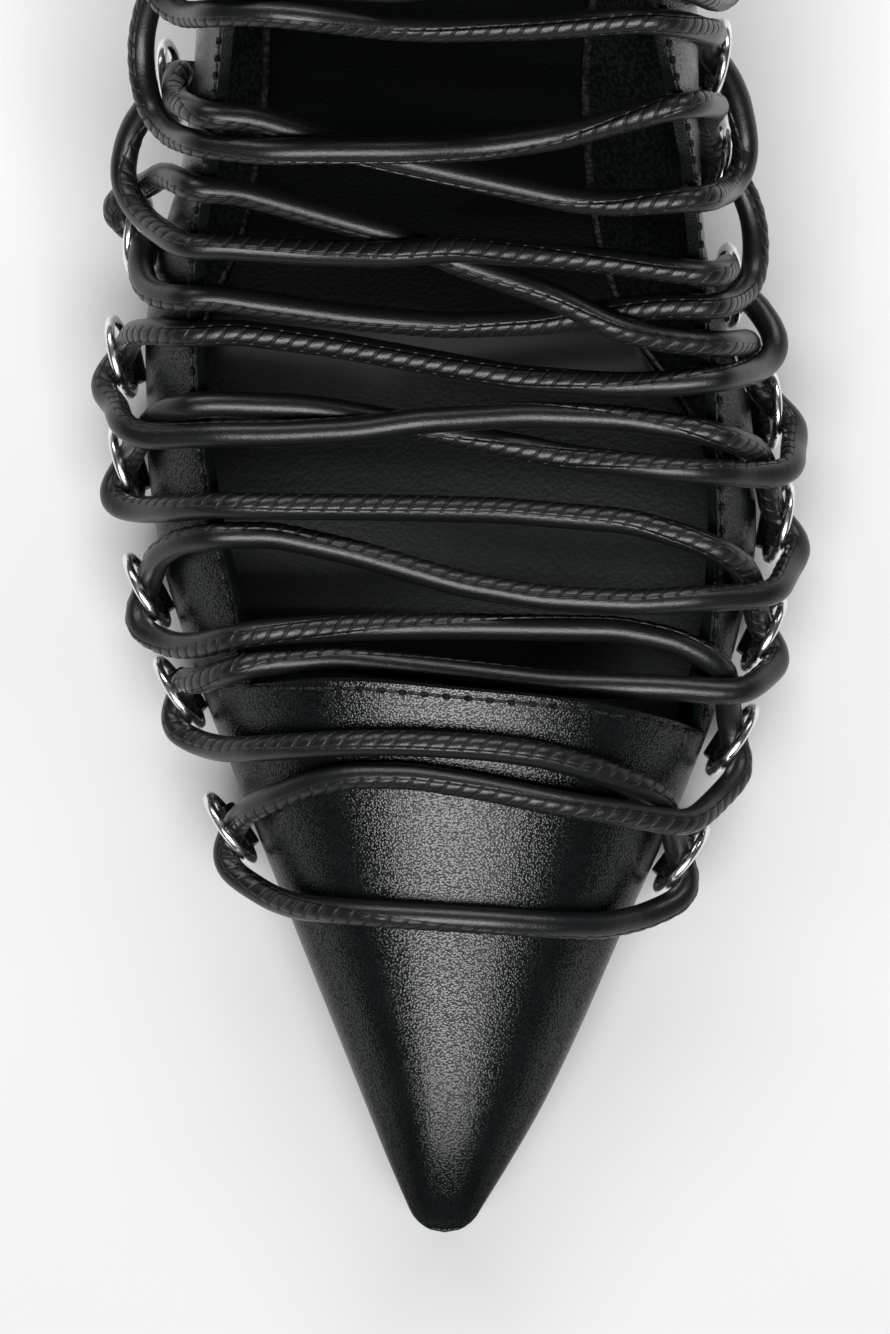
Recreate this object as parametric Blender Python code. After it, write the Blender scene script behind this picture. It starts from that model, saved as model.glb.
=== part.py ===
"""Lace up heel: a right pointed-toe pump on a slim heel, laced through rings at the sole edge.

The shoe stands on z = 0 with its toe towards -Y, its heel towards +Y and its
inner (medial) side towards +X. Sizes are in millimetres in the tables, and
MM turns them into metres. A station is a distance back from the toe tip, seen
from above.
"""

import math

import bmesh
import bpy
import numpy as np
from mathutils import Matrix, Vector
from mathutils.bvhtree import BVHTree

MM = 0.001

# Driving sizes of the shoe
SHOE_LENGTH = 238.0
TREAD_STATION = 80.0
WALL = 1.6
FIT_GAP = 0.3
SOLE_THICKNESS = 3.0
INSOLE_THICKNESS = 2.0
INSOLE_SIDE_GAP = 0.6
SOLE_EDGE_OUTSET = 0.5
BREAST_STATION = 196.5

# Toe and back of the outline seen from above
TOE_RADIUS = 5.2
TOE_ARC_STATION = 3.0
HEEL_ARC_STATION = 208.0
HEEL_ARC_POWER = 2.2

# Roundness of the sections: 2 is an ellipse, more is squarer
SECTION_POWER = 2.1

# Rings and their leather tabs
RING_OUTSIDE = 11.7
RING_WIRE = 1.1
RING_RAISE = 8.5
RING_LEAN = 12.0
RING_TURN = 12.0
RING_SEGMENTS = 14
WIRE_SEGMENTS = 6
TAB_WIDTH = 6.5
TAB_LEATHER = 0.9
TAB_POINTS = 8

# Lace: it passes a ring a little under the ring's top, and loops lower than the topline outside
LACE_DIAMETER = 3.6
LACE_BEVEL_RESOLUTION = 1
LACE_STEP = 1.6
LACE_FLATNESS = 0.3
LACE_GAP = 0.5
SETTLE_ROUNDS = 24
LOOP_RISE = 3.5
WALL_RISE = 7.0
THREAD_RISE = 2.3
THREAD_OUT = 3.4
THREAD_IN = 2.2

# Heel
TOP_PIECE_HEIGHT = 4.7
HEEL_RING_POINTS = 20
HEEL_SEAT_GAP = 0.5

LATERAL = -1
MEDIAL = 1
SIDE_NAMES = {LATERAL: "lateral", MEDIAL: "medial"}

# Widest outline of the upper, how far the sole edge lies inside it, and how high it is widest
OUTLINE_COLUMNS = (
    "station", "lateral", "medial", "lateral_tuck", "medial_tuck", "lateral_bulge", "medial_bulge",
)
OUTLINE = (
    (3.0, 4.7, 4.7, 1.0, 1.0, 5.0, 5.0),
    (9.0, 7.3, 8.4, 1.2, 1.2, 5.4, 5.4),
    (17.0, 10.5, 13.0, 1.4, 1.5, 6.0, 6.0),
    (28.0, 14.9, 18.3, 1.6, 1.7, 6.5, 6.5),
    (40.0, 19.7, 23.5, 1.8, 1.9, 7.0, 7.0),
    (60.0, 27.6, 32.4, 2.0, 2.2, 8.0, 8.0),
    (78.0, 34.4, 38.8, 2.4, 2.6, 8.5, 8.5),
    (95.0, 39.0, 42.0, 2.8, 3.0, 9.0, 9.0),
    (108.0, 40.3, 41.6, 3.2, 4.0, 9.0, 10.0),
    (120.0, 40.4, 38.0, 4.5, 7.0, 11.0, 15.0),
    (130.0, 38.6, 34.8, 6.5, 10.5, 13.0, 20.0),
    (140.0, 35.2, 33.8, 7.5, 12.5, 15.0, 23.0),
    (152.0, 33.1, 33.3, 7.5, 13.0, 16.0, 24.0),
    (170.0, 32.0, 32.4, 6.5, 10.0, 17.0, 22.0),
    (190.0, 31.2, 31.6, 5.0, 6.0, 17.0, 19.0),
    (208.0, 30.4, 30.6, 4.5, 4.5, 17.0, 17.0),
    (238.0, 30.4, 30.6, 4.5, 4.5, 17.0, 17.0),
)

# Height of the lasting edge, the bottom of the upper: toe spring, flat tread, arch, heel seat
BOTTOM_COLUMNS = ("station", "height")
BOTTOM = (
    (0.0, 9.0),
    (15.0, 6.4),
    (30.0, 4.6),
    (48.0, 3.5),
    (62.0, 3.3),
    (108.0, 3.3),
    (118.0, 5.2),
    (130.0, 11.5),
    (145.0, 24.5),
    (160.0, 40.0),
    (175.0, 55.5),
    (190.0, 68.5),
    (205.0, 77.0),
    (220.0, 81.0),
    (238.0, 82.5),
)

# Height of the vamp's middle line above the lasting edge
RIDGE_COLUMNS = ("station", "height")
RIDGE = (
    (0.0, 4.0),
    (1.2, 6.2),
    (3.0, 8.2),
    (6.0, 10.6),
    (10.0, 13.2),
    (15.0, 15.9),
    (22.0, 18.9),
    (35.0, 23.0),
    (50.0, 27.5),
    (65.0, 33.0),
    (80.0, 39.0),
)

# Topline behind the throat: its lean in from the widest outline and its height above the lasting edge
TOPLINE_COLUMNS = ("station", "lateral_lean", "medial_lean", "lateral_top", "medial_top")
TOPLINE = (
    (66.0, 6.0, 0.6, 24.5, 13.0),
    (72.0, 6.6, 2.2, 25.0, 16.5),
    (80.0, 7.6, 3.8, 25.5, 21.0),
    (90.0, 8.2, 5.4, 26.0, 25.5),
    (100.0, 8.0, 5.8, 27.0, 28.0),
    (112.0, 7.4, 5.2, 29.0, 31.0),
    (122.0, 7.0, 3.2, 32.0, 34.0),
    (130.0, 6.0, 1.4, 35.0, 37.0),
    (136.0, 5.0, 1.4, 37.5, 39.5),
    (142.0, 4.4, 2.4, 40.0, 41.5),
    (150.0, 4.2, 4.6, 42.0, 43.0),
    (158.0, 4.8, 6.0, 43.5, 44.0),
    (175.0, 5.5, 6.5, 46.0, 46.0),
    (200.0, 6.0, 6.5, 50.0, 50.0),
    (238.0, 7.5, 7.5, 56.0, 56.0),
)

# Throat edge across the vamp, from its lateral to its medial corner
THROAT_COLUMNS = ("across", "station")
THROAT = (
    (-26.0, 72.0),
    (-15.0, 71.6),
    (2.0, 70.1),
    (15.5, 69.1),
    (26.0, 68.1),
    (34.4, 67.0),
)

# Stations where the sections are taken
TOE_STATIONS = (0.7, 2.2, 4.5, 8.0, 13.0, 20.0, 28.0, 37.0, 46.0, 55.0)
LATERAL_CORNER_STATIONS = (64.0, 72.0)
MEDIAL_CORNER_STATIONS = (62.0, 67.0)
SIDE_STATIONS = (
    80.0, 90.0, 100.0, 108.0, 114.0, 119.0, 124.0, 129.0, 134.0, 140.0, 147.0,
    155.0, 164.0, 174.0, 184.0, 194.0, 204.0, 213.0, 221.0, 228.0, 233.0, 236.5,
)
LOWER_ROWS = 2
UPPER_ROWS = 8

# Heel: part of the way down, half width, front and back stations
HEEL_COLUMNS = ("down", "half_width", "front", "back", "squareness")
HEEL = (
    (0.0, 25.0, 197.0, 233.2, 4.5),
    (0.05, 24.4, 198.0, 233.8, 4.0),
    (0.13, 20.5, 202.5, 233.9, 3.4),
    (0.23, 15.4, 207.2, 233.2, 2.9),
    (0.35, 11.6, 211.2, 231.9, 2.6),
    (0.5, 8.6, 214.8, 230.6, 2.5),
    (0.7, 6.3, 217.7, 229.5, 2.5),
    (0.88, 5.3, 219.3, 228.9, 2.5),
    (1.0, 5.0, 219.8, 228.9, 2.5),
)

# Rings, from the toe back: how far out and at which station each one stands
RING_COLUMNS = ("lateral_across", "lateral_station", "medial_across", "medial_station")
RINGS = (
    (-28.9, 54.6, 31.8, 50.5),
    (-35.8, 73.0, 38.7, 66.5),
    (-40.2, 86.8, 43.0, 81.0),
    (-43.0, 104.0, 45.0, 96.2),
    (-43.7, 118.4, 43.7, 111.6),
    (-41.2, 133.8, 38.3, 127.4),
    (-36.4, 151.5, 36.4, 142.3),
    (-35.6, 165.6, 36.0, 153.8),
    (-34.8, 180.0, 35.4, 166.4),
)


# Route of the lace: across, station and lift over what lies under it. The bar joins the first two
# rings. From there each strand goes to the next ring on the other side, in at its outer face.
BAR = (
    (-29.2, 49.0, 0.0), (-26.5, 46.2, 0.0), (-22.5, 44.2, 0.0), (-16.5, 42.8, 0.0), (-6.5, 41.0, 0.0),
    (3.5, 40.5, 0.0), (13.0, 40.0, 0.0), (20.5, 40.5, 0.0), (26.5, 41.8, 0.0), (31.0, 44.0, 0.0),
    (33.6, 46.8, 0.0),
)
LATERAL_STRAND = (
    (
        (-22.5, 57.0, 0.0), (-19.0, 59.0, 0.0), (-14.0, 59.5, 0.0), (-6.5, 59.5, 0.0), (3.0, 58.0, 0.0),
        (9.5, 56.5, 0.5), (16.0, 55.0, 1.5), (22.5, 55.0, 3.0), (28.5, 55.0, 4.0), (34.0, 56.0, 3.0),
        (38.0, 58.5, 1.0), (40.0, 61.5, 0.0),
    ),
    (
        (37.0, 73.5, 0.0), (35.5, 76.5, 0.0), (32.5, 78.5, 0.0), (26.0, 79.5, 0.0), (15.5, 80.0, 0.0),
        (-8.5, 79.5, 0.0), (-19.5, 79.0, 2.0), (-27.5, 78.0, 2.0), (-34.0, 78.0, 0.0),
        (-39.5, 79.0, 0.0), (-42.5, 82.0, 0.0),
    ),
    (
        (-37.5, 91.0, 0.0), (-33.5, 92.5, 0.0), (-28.0, 92.5, 0.0), (-22.0, 92.0, 0.0),
        (-14.0, 90.0, 0.0), (-6.0, 87.5, 0.0), (2.0, 85.0, 1.0), (10.0, 83.5, 3.0), (18.0, 82.5, 3.0),
        (27.5, 82.5, 3.0), (36.5, 83.5, 4.0), (43.0, 87.0, 5.0), (46.5, 90.5, 0.0), (47.0, 94.0, 0.0),
    ),
    (
        (41.5, 101.0, 0.0), (39.5, 103.5, 0.0), (36.0, 104.5, 0.0), (30.0, 106.5, 0.0),
        (20.5, 107.5, 0.0), (10.0, 107.5, 1.0), (-0.5, 106.5, 3.5), (-8.5, 105.5, 3.5),
        (-19.5, 104.5, 2.0), (-30.0, 105.0, 2.0), (-39.5, 107.5, 5.0), (-44.5, 112.0, 1.0),
        (-46.0, 115.5, 0.0),
    ),
    (
        (-38.0, 120.5, 0.0), (-32.5, 119.5, 0.0), (-24.5, 118.0, 0.0), (-15.5, 116.5, 0.0),
        (-6.0, 114.5, 0.0), (3.5, 113.0, 0.0), (15.5, 111.0, 0.0), (27.0, 110.5, 1.0),
        (35.0, 111.5, 3.0), (41.0, 116.0, 5.0), (44.5, 121.5, 1.0), (43.0, 126.5, 0.0),
    ),
    (
        (36.5, 127.5, 0.0), (32.5, 125.0, 0.0), (20.5, 126.0, 0.0), (7.5, 127.0, 2.0),
        (-2.0, 127.0, 3.5), (-19.0, 127.0, 1.5), (-29.5, 128.0, 2.0), (-37.5, 131.5, 6.0),
        (-42.5, 135.5, 5.0), (-44.5, 139.5, 0.0), (-43.0, 143.5, 0.0),
    ),
    (
        (-34.5, 148.0, 0.0), (-31.0, 144.5, 0.0), (-26.0, 141.0, 0.0), (-19.0, 139.5, 0.0),
        (-10.0, 138.0, -0.5), (-2.0, 136.5, 0.0), (7.0, 135.0, 0.0), (15.0, 133.0, 0.0),
        (23.0, 132.0, 0.0), (32.0, 133.0, 2.0), (38.5, 138.0, 2.0), (40.0, 143.0, 0.0),
        (39.0, 149.0, 0.0),
    ),
    (
        (34.5, 156.5, 0.0), (31.0, 154.5, 0.0), (20.0, 152.0, 0.0), (7.0, 151.5, 0.0),
        (-6.0, 151.5, 0.0), (-15.0, 152.0, 3.0), (-24.0, 153.0, 3.0), (-30.5, 155.5, 3.0),
        (-35.5, 160.0, 5.0), (-39.0, 166.5, 2.0), (-39.5, 172.0, 0.0), (-38.5, 176.5, 0.0),
    ),
)
MEDIAL_STRAND = (
    (
        (29.0, 56.5, 0.0), (25.0, 58.5, 0.0), (21.0, 60.0, 0.0), (16.0, 61.5, 0.0), (9.5, 62.5, 0.0),
        (0.5, 63.0, 0.0), (-7.0, 63.5, 0.0), (-14.0, 63.5, 0.0), (-25.0, 64.0, 0.0), (-31.5, 65.0, 0.0),
        (-34.5, 67.5, 0.0),
    ),
    (
        (-30.0, 73.0, 0.0), (-26.0, 75.0, 0.0), (-19.5, 75.5, 0.0), (-12.5, 75.5, 0.0),
        (-3.5, 74.5, 0.0), (7.5, 73.0, 0.0), (20.5, 72.0, 1.0), (33.0, 72.0, 4.0), (39.5, 73.5, 5.0),
        (43.5, 76.0, 0.0), (45.0, 79.5, 0.0),
    ),
    (
        (40.0, 85.5, 0.0), (39.0, 88.5, 0.0), (34.5, 91.0, 0.0), (26.0, 93.5, 0.0), (15.5, 94.5, 0.0),
        (4.5, 95.0, 0.0), (-14.0, 95.0, 3.0), (-19.5, 95.0, 3.0), (-32.5, 95.0, 3.0),
        (-39.5, 97.5, 0.0), (-42.5, 100.0, 0.0),
    ),
    (
        (-35.5, 108.5, 0.0), (-30.5, 109.0, 0.0), (-23.5, 109.0, 0.0), (-14.0, 108.0, 0.0),
        (-6.0, 106.0, -0.5), (-0.5, 105.0, -1.0), (10.0, 103.0, 0.0), (20.5, 101.0, 0.0),
        (34.0, 99.5, 3.5), (41.0, 101.0, 5.0), (45.0, 105.0, 1.0), (46.0, 108.0, 0.0),
    ),
    (
        (39.5, 116.5, 0.0), (34.0, 116.5, 0.0), (27.0, 117.0, 2.0), (20.5, 119.0, 3.5),
        (12.5, 122.5, 2.0), (-2.0, 127.0, -0.5), (-15.0, 130.5, 0.0), (-24.5, 133.5, 0.0),
        (-32.5, 136.5, 0.0), (-38.0, 139.5, 0.0), (-42.0, 138.0, 0.0),
    ),
    (
        (-37.5, 124.5, 0.0), (-26.0, 121.0, 2.0), (-12.5, 119.5, 1.0), (-0.5, 118.5, 0.0),
        (7.5, 118.5, 0.0), (15.0, 119.0, 0.0), (25.0, 119.5, 0.0), (31.0, 120.5, 2.0),
        (38.0, 124.0, 6.0), (42.0, 127.0, 4.0), (43.0, 131.5, 1.0), (41.0, 136.5, 0.0),
    ),
    (
        (35.0, 147.5, 0.0), (32.0, 145.5, 0.0), (27.0, 142.5, 0.0), (20.5, 140.5, 0.0),
        (12.5, 139.5, 0.0), (4.5, 138.5, 0.0), (-6.0, 137.5, 3.5), (-16.5, 138.0, 3.0),
        (-25.5, 138.5, 2.5), (-34.0, 143.0, 4.0), (-39.0, 147.5, 5.0), (-41.0, 152.5, 2.0),
        (-40.5, 157.0, 0.0), (-39.0, 161.0, 0.0),
    ),
    (
        (-33.5, 161.0, 0.0), (-28.0, 157.5, 0.0), (-19.0, 156.0, 0.0), (-8.0, 155.5, 0.0),
        (4.0, 156.5, 0.0), (16.0, 158.0, 0.0), (26.0, 158.0, 2.0), (33.0, 157.5, 5.0),
        (38.0, 158.5, 4.0), (40.0, 162.0, 0.0),
    ),
)


def clear_scene():
    for old in list(bpy.data.objects):
        bpy.data.objects.remove(old, do_unlink=True)


def material(name, colour, roughness, metallic=0.0):
    made = bpy.data.materials.new(name)
    made.use_nodes = True
    shader = made.node_tree.nodes["Principled BSDF"]
    shader.inputs["Base Color"].default_value = (*colour, 1.0)
    shader.inputs["Roughness"].default_value = roughness
    shader.inputs["Metallic"].default_value = metallic
    made.diffuse_color = (*colour, 1.0)
    return made


# Smooth curves through the tables

def column(table, names, name):
    place = names.index(name)
    return [row[0] for row in table], [row[place] for row in table]


def slopes(xs, ys):
    """Slopes that keep a curve through the rows from overshooting them."""
    steps = [(ys[i + 1] - ys[i]) / (xs[i + 1] - xs[i]) for i in range(len(xs) - 1)]
    found = [steps[0]]
    for before, after in zip(steps, steps[1:]):
        if before * after <= 0:
            found.append(0.0)
        else:
            found.append(2 * before * after / (before + after))
    found.append(steps[-1])
    return found


def curve(table, names, name, x):
    """The value of a named column at x, on a smooth curve through its rows."""
    xs, ys = column(table, names, name)
    x = min(max(x, xs[0]), xs[-1])
    last = len(xs) - 2
    i = next((k for k in range(last) if x < xs[k + 1]), last)
    slope = slopes(xs, ys)
    width = xs[i + 1] - xs[i]
    t = (x - xs[i]) / width
    rise = ys[i] * (1 + 2 * t) * (1 - t) ** 2 + ys[i + 1] * t * t * (3 - 2 * t)
    turn = slope[i] * t * (1 - t) ** 2 - slope[i + 1] * t * t * (1 - t)
    return rise + turn * width


def outline(name, station):
    return curve(OUTLINE, OUTLINE_COLUMNS, name, station)


def topline(name, station):
    return curve(TOPLINE, TOPLINE_COLUMNS, name, station)


def edge_height(station):
    """Height of the lasting edge."""
    return curve(BOTTOM, BOTTOM_COLUMNS, "height", station)


# The last: its outline, its sections and its surface

def half_width(side, station):
    """Widest half width of the upper, with the round toe and the round back."""
    if station <= TOE_ARC_STATION:
        return math.sqrt(max(TOE_RADIUS ** 2 - (TOE_RADIUS - station) ** 2, 0.0))
    width = outline(SIDE_NAMES[side], station)
    if station > HEEL_ARC_STATION:
        part = (station - HEEL_ARC_STATION) / (SHOE_LENGTH - HEEL_ARC_STATION)
        width *= max(1 - part ** HEEL_ARC_POWER, 0.0) ** (1 / HEEL_ARC_POWER)
    return width


def inward(side, station):
    """The outline's direction towards the inside of the shoe, seen from above."""
    if station <= 0:
        return Vector((0.0, 1.0))
    if station >= SHOE_LENGTH:
        return Vector((0.0, -1.0))
    step = min(0.2, station / 2, (SHOE_LENGTH - station) / 2)
    wider = half_width(side, station + step) - half_width(side, station - step)
    return Vector((-side * 2 * step, wider)).normalized()


def widest_point(side, station):
    return Vector((side * half_width(side, station), station))


def bulge(side, station):
    return outline(SIDE_NAMES[side] + "_bulge", station)


def tuck(side, station):
    return outline(SIDE_NAMES[side] + "_tuck", station)


def sole_point(side, station, inset=0.0):
    """A point of the lasting edge seen from above, moved in by inset."""
    return widest_point(side, station) + inward(side, station) * (tuck(side, station) + inset)


def vamp_height(across, station):
    """Height of the vamp's outer surface over a point inside the outline."""
    side = MEDIAL if across > 0 else LATERAL
    low = bulge(side, station)
    ridge = max(curve(RIDGE, RIDGE_COLUMNS, "height", station), low)
    part = min(abs(across) / max(half_width(side, station), 0.001), 1.0)
    arch = (1 - part ** SECTION_POWER) ** (1 / SECTION_POWER)
    return edge_height(station) + low + (ridge - low) * arch


def lower_wall(side, station, part):
    """A point between the lasting edge, part 0, and the widest line, part 1."""
    low = sole_point(side, station)
    wide = widest_point(side, station)
    plan = low.lerp(wide, math.sin(part * math.pi / 2))
    height = edge_height(plan.y) + bulge(side, station) * part
    return Vector((plan.x, plan.y, height))


def vamp_line(side, station, corner):
    """The outer surface from the widest line up to the throat edge."""
    foot = widest_point(side, station)
    part = half_width(side, station) / half_width(side, corner)
    end = THROAT[0][0] if side == LATERAL else THROAT[-1][0]
    across = part * end
    throat = Vector((across, curve(THROAT, THROAT_COLUMNS, "station", across)))
    points = []
    for row in range(1, UPPER_ROWS + 1):
        plan = foot.lerp(throat, 1 - math.cos(row / UPPER_ROWS * math.pi / 2))
        points.append(Vector((plan.x, plan.y, vamp_height(plan.x, plan.y))))
    return points


def wall_line(side, station):
    """The outer surface from the widest line up to the topline."""
    name = SIDE_NAMES[side]
    lean = topline(name + "_lean", station)
    rise = topline(name + "_top", station) - bulge(side, station)
    full = outline(name, station)
    end = math.acos((1 - lean / full) ** (SECTION_POWER / 2))
    foot = widest_point(side, station)
    base = edge_height(station) + bulge(side, station)
    points = []
    for row in range(1, UPPER_ROWS + 1):
        angle = end * row / UPPER_ROWS
        inset = full * (1 - math.cos(angle) ** (2 / SECTION_POWER))
        lift = rise * (math.sin(angle) / math.sin(end)) ** (2 / SECTION_POWER)
        plan = foot + inward(side, station) * inset
        points.append(Vector((plan.x, plan.y, base + lift)))
    return points


def section_lines():
    """Lines up the outer surface, from the back of the heel round the lateral side, toe and medial side."""
    corners = {LATERAL: LATERAL_CORNER_STATIONS, MEDIAL: MEDIAL_CORNER_STATIONS}
    lines = []
    for side in (LATERAL, MEDIAL):
        front = [0.0] if side == LATERAL else []
        front += [*TOE_STATIONS, *corners[side]]
        made = []
        for station in front:
            low = [lower_wall(side, station, row / LOWER_ROWS) for row in range(LOWER_ROWS + 1)]
            made.append(low + vamp_line(side, station, corners[side][-1]))
        back = [*SIDE_STATIONS, SHOE_LENGTH] if side == LATERAL else SIDE_STATIONS
        for station in back:
            low = [lower_wall(side, station, row / LOWER_ROWS) for row in range(LOWER_ROWS + 1)]
            made.append(low + wall_line(side, station))
        lines += made[::-1] if side == LATERAL else made
    return lines


def outer_surface():
    lines = section_lines()
    rows = len(lines[0])
    points = [point for line in lines for point in line]
    faces = []
    for i in range(len(lines)):
        after = (i + 1) % len(lines)
        for row in range(rows - 1):
            low, high = i * rows + row, i * rows + row + 1
            next_low, next_high = after * rows + row, after * rows + row + 1
            faces.append((low, next_low, next_high, high))
    return points, faces


# Turning points into objects

def place(point):
    """A point given by across, station and height, in the world's metres."""
    return Vector((point[0], point[1] - TREAD_STATION, point[2])) * MM


def add_object(name, mesh, finish, smooth_angle=None):
    if smooth_angle is not None:
        mesh.shade_smooth()
        mesh.set_sharp_from_angle(angle=math.radians(smooth_angle))
    mesh.materials.append(finish)
    made = bpy.data.objects.new(name, mesh)
    bpy.context.scene.collection.objects.link(made)
    return made


def mesh_from(name, points, faces):
    mesh = bpy.data.meshes.new(name)
    mesh.from_pydata([place(point) for point in points], [], faces)
    mesh.update()
    return mesh


def make_upper(finish):
    points, faces = outer_surface()
    upper = add_object("upper", mesh_from("upper", points, faces), finish, 40)
    wall = upper.modifiers.new("Wall", "SOLIDIFY")
    wall.thickness = WALL * MM
    wall.offset = -1
    wall.use_even_offset = True
    return upper


def make_plate(name, inset, bottom, top, finish, end=None):
    """A plate that follows the lasting edge, between two heights over it."""
    stations = [*TOE_STATIONS, 64.0, 72.0, *SIDE_STATIONS]
    if end is not None:
        stations = [station for station in stations if station < end] + [end]
    pairs = [[sole_point(side, station, inset) for station in stations] for side in (LATERAL, MEDIAL)]
    loop = [sole_point(LATERAL, 0.0, inset)] + pairs[0]
    if end is None:
        loop.append(sole_point(LATERAL, SHOE_LENGTH, inset))
    loop += pairs[1][::-1]
    count = len(loop)
    points = [(p.x, p.y, edge_height(p.y) + height) for height in (bottom, top) for p in loop]
    faces = []
    for i in range(count):
        after = (i + 1) % count
        faces.append((after, i, i + count, after + count))
    for k in range((count - 1) // 2):
        left, right = 1 + k, count - 1 - k
        before = (left - 1, (right + 1) % count)
        corners = [before[0], left, right, before[1]]
        ring = list(dict.fromkeys(corners))
        faces.append(tuple(ring))
        faces.append(tuple(i + count for i in reversed(ring)))
    if count % 2 == 0:
        middle = count // 2
        faces.append((middle - 1, middle, middle + 1))
        faces.append((middle + 1 + count, middle + count, middle - 1 + count))
    mesh = mesh_from(name, points, faces)
    tidy = bmesh.new()
    tidy.from_mesh(mesh)
    bmesh.ops.recalc_face_normals(tidy, faces=tidy.faces)
    tidy.to_mesh(mesh)
    tidy.free()
    return add_object(name, mesh, finish, 40)


def heel_ring(half, front, back, squareness):
    """A rounded section of the heel seen from above."""
    middle = (front + back) / 2
    reach = (back - front) / 2
    ring = []
    for i in range(HEEL_RING_POINTS):
        angle = 2 * math.pi * i / HEEL_RING_POINTS
        across = math.copysign(abs(math.cos(angle)) ** (2 / squareness), math.cos(angle))
        along = math.copysign(abs(math.sin(angle)) ** (2 / squareness), math.sin(angle))
        ring.append((half * across, middle + reach * along))
    return ring


def loft(name, rings, finish):
    count = len(rings[0])
    points = [point for ring in rings for point in ring]
    faces = [tuple(range(count)), tuple(reversed(range(len(points) - count, len(points))))]
    for level in range(len(rings) - 1):
        for i in range(count):
            after = (i + 1) % count
            base = level * count
            faces.append((base + after, base + i, base + count + i, base + count + after))
    mesh = mesh_from(name, points, faces)
    return add_object(name, mesh, finish, 40)


def make_heel(finish):
    seat = heel_ring(*HEEL[0][1:])
    foot = TOP_PIECE_HEIGHT + FIT_GAP
    rings = []
    for down, *section in HEEL:
        ring = []
        for (x, y), (_, seat_y) in zip(heel_ring(*section), seat):
            top = edge_height(seat_y) - HEEL_SEAT_GAP
            ring.append((x, y, top + (foot - top) * down))
        rings.append(ring)
    return loft("heel", rings, finish)


def make_top_piece(finish):
    ring = heel_ring(*HEEL[-1][1:])
    rings = [[(x, y, height) for x, y in ring] for height in (TOP_PIECE_HEIGHT, 0.0)]
    return loft("top_piece", rings, finish)


def ring_place(side, number):
    """Where a ring's middle is, and the directions along it, up it and out through it."""
    row = RINGS[number - 1]
    across, station = row[:2] if side == LATERAL else row[2:]
    plan = -inward(side, station)
    turn = Matrix.Rotation(math.radians(RING_TURN) * -side, 3, "Z")
    level = turn @ Vector((plan.x, plan.y, 0.0))
    lean = math.radians(RING_LEAN)
    up = Vector((0.0, 0.0, math.cos(lean))) + level * math.sin(lean)
    out = level * math.cos(lean) - Vector((0.0, 0.0, math.sin(lean)))
    middle = Vector((across, station, edge_height(station) + RING_RAISE))
    return middle, up.cross(out), up, out


def make_ring(side, number, finish):
    middle, along, up, out = ring_place(side, number)
    bpy.ops.mesh.primitive_torus_add(
        major_segments=RING_SEGMENTS,
        minor_segments=WIRE_SEGMENTS,
        major_radius=(RING_OUTSIDE - RING_WIRE) / 2 * MM,
        minor_radius=RING_WIRE / 2 * MM,
        location=place(middle),
        rotation=Matrix((along, up, along.cross(up))).transposed().to_euler(),
    )
    ring = bpy.context.object
    ring.name = f"ring_{SIDE_NAMES[side]}_{number}"
    ring.data.name = ring.name
    ring.data.materials.append(finish)
    ring.data.shade_smooth()
    return ring


def wall_distance(side, spot, plan, height):
    """How far the upper's wall at a height lies in from a spot beside it."""
    part = min((height - edge_height(spot.y)) / bulge(side, spot.y), 1.0)
    wall = lower_wall(side, spot.y, max(part, 0.0))
    return (spot.xy - wall.xy).dot(plan)


def make_tab(side, number, finish):
    """A strap folded round the ring's lowest wire, drawn in to a nose at the upper's wall."""
    middle, along, up, out = ring_place(side, number)
    plan = out.xy.normalized()
    radius = (RING_OUTSIDE - RING_WIRE) / 2
    rise = radius - math.sqrt(radius ** 2 - (TAB_WIDTH / 2) ** 2)
    hole_across = RING_WIRE / 2 + FIT_GAP
    hole_up = hole_across + rise / 2
    centre = middle - up * (radius - rise / 2)
    reach = min(
        wall_distance(side, centre + along * step, plan, centre.z + hole_up)
        for step in (-TAB_WIDTH / 2, 0.0, TAB_WIDTH / 2)
    )
    reach = max(reach - FIT_GAP - 0.1, hole_across + TAB_LEATHER)
    points = []
    for end in (-TAB_WIDTH / 2, TAB_WIDTH / 2):
        for outer in (0.0, TAB_LEATHER):
            for i in range(TAB_POINTS):
                angle = 2 * math.pi * i / TAB_POINTS
                across = (hole_across + outer) * math.cos(angle)
                if outer and math.cos(angle) < -0.9:
                    across = -reach
                height = (hole_up + outer) * math.sin(angle)
                points.append(centre + along * end + Vector((plan.x * across, plan.y * across, height)))
    n = TAB_POINTS
    faces = []
    for i in range(n):
        after = (i + 1) % n
        faces.append((i, after, n + after, n + i))
        faces.append((2 * n + after, 2 * n + i, 3 * n + i, 3 * n + after))
        faces.append((after, i, 2 * n + i, 2 * n + after))
        faces.append((n + i, n + after, 3 * n + after, 3 * n + i))
    mesh = mesh_from(f"tab_{SIDE_NAMES[side]}_{number}", points, faces)
    tidy = bmesh.new()
    tidy.from_mesh(mesh)
    bmesh.ops.recalc_face_normals(tidy, faces=tidy.faces)
    tidy.to_mesh(mesh)
    tidy.free()
    return add_object(mesh.name, mesh, finish)


# The lace

def opening_reach(station):
    """How far the opening reaches to each side."""
    return {k: half_width(k, station) - topline(SIDE_NAMES[k] + "_lean", station) for k in SIDE_NAMES}


def over_opening(across, station):
    side = MEDIAL if across > 0 else LATERAL
    behind_throat = station > curve(THROAT, THROAT_COLUMNS, "station", across)
    return behind_throat and abs(across) < opening_reach(station)[side]


def steepness(station):
    """How much longer a climb straight up is than one square to the topline's slope."""
    rise = edge_height(station + 1.0) - edge_height(station - 1.0)
    rise += topline("lateral_top", station + 1.0) - topline("lateral_top", station - 1.0)
    return math.hypot(1.0, rise / 2)


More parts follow.
